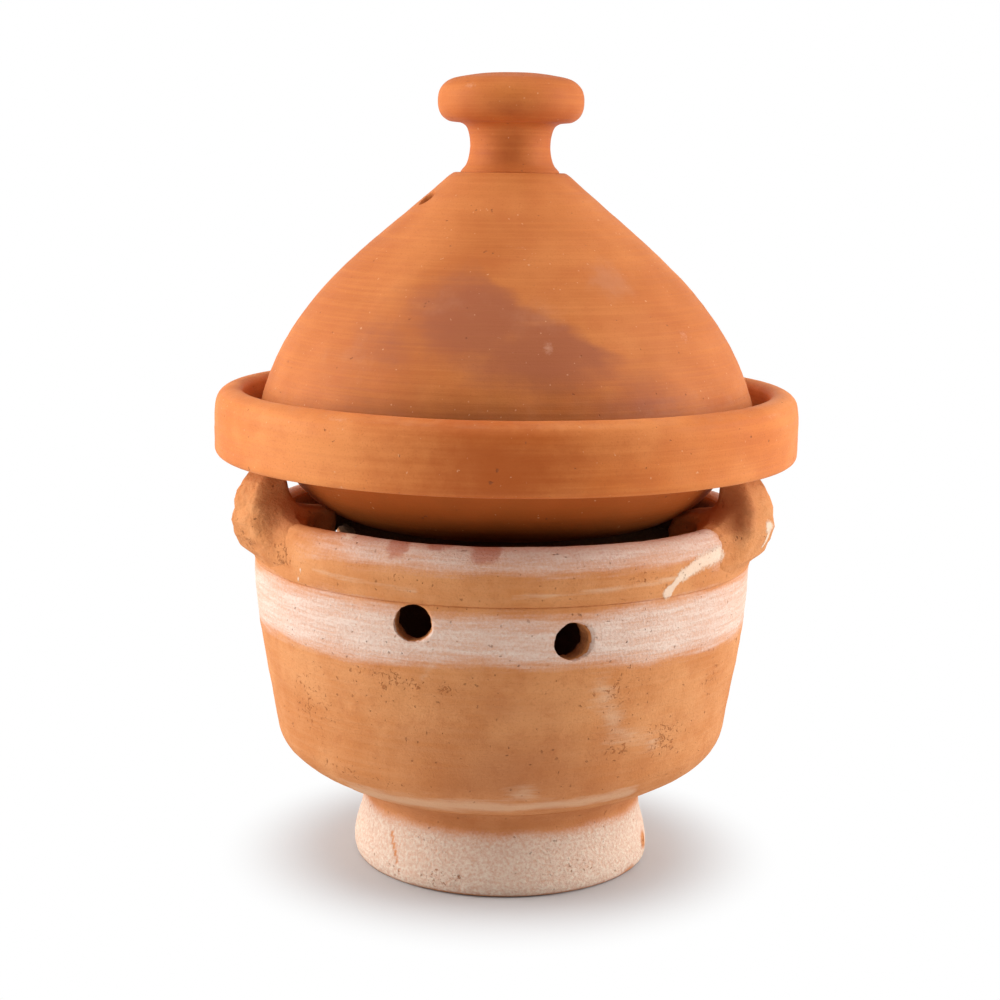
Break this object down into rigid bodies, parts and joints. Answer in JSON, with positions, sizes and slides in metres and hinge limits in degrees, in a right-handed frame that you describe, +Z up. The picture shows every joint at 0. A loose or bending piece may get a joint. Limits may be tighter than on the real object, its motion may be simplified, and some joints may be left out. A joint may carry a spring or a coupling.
{
  "type": "tagine pot",
  "caption": "Unglazed terracotta tagine, a shallow dish under a conical lid with a knob, on a footed charcoal brazier whose rim carries clay rests and whose wall has draught holes.",
  "frame": {"origin": "middle of the foot ring's bottom face, on the axis of the whole pot", "axes": "+Z up along the pot's axis; -Y is the front, where a pair of draught holes lies between the left and right pot rests; +X is to the right seen from the front"},
  "size_m": [0.3, 0.3, 0.4077],
  "materials": {
    "smooth_clay": "matte",
    "brazier_clay": "matte",
    "limewashed_clay": "matte"
  },
  "bodies": {
    "brazier": {"brazier_foot_ring": "limewashed_clay", "brazier_bowl": "brazier_clay", "brazier_rim_roll": "brazier_clay", "pot_rest_left": "brazier_clay", "pot_rest_right": "brazier_clay", "pot_rest_back": "brazier_clay"},
    "dish": {"tagine_dish": "smooth_clay"},
    "lid": {"lid_cone": "smooth_clay", "lid_knob": "smooth_clay"}
  },
  "joints": [
    {"name": "dish_lift", "type": "slide", "parent": "brazier", "child": "dish", "axis": [0, 0, 1], "range_m": [0, 0.12]},
    {"name": "lid_lift", "type": "slide", "parent": "dish", "child": "lid", "axis": [0, 0, 1], "range_m": [0, 0.15]}
  ]
}
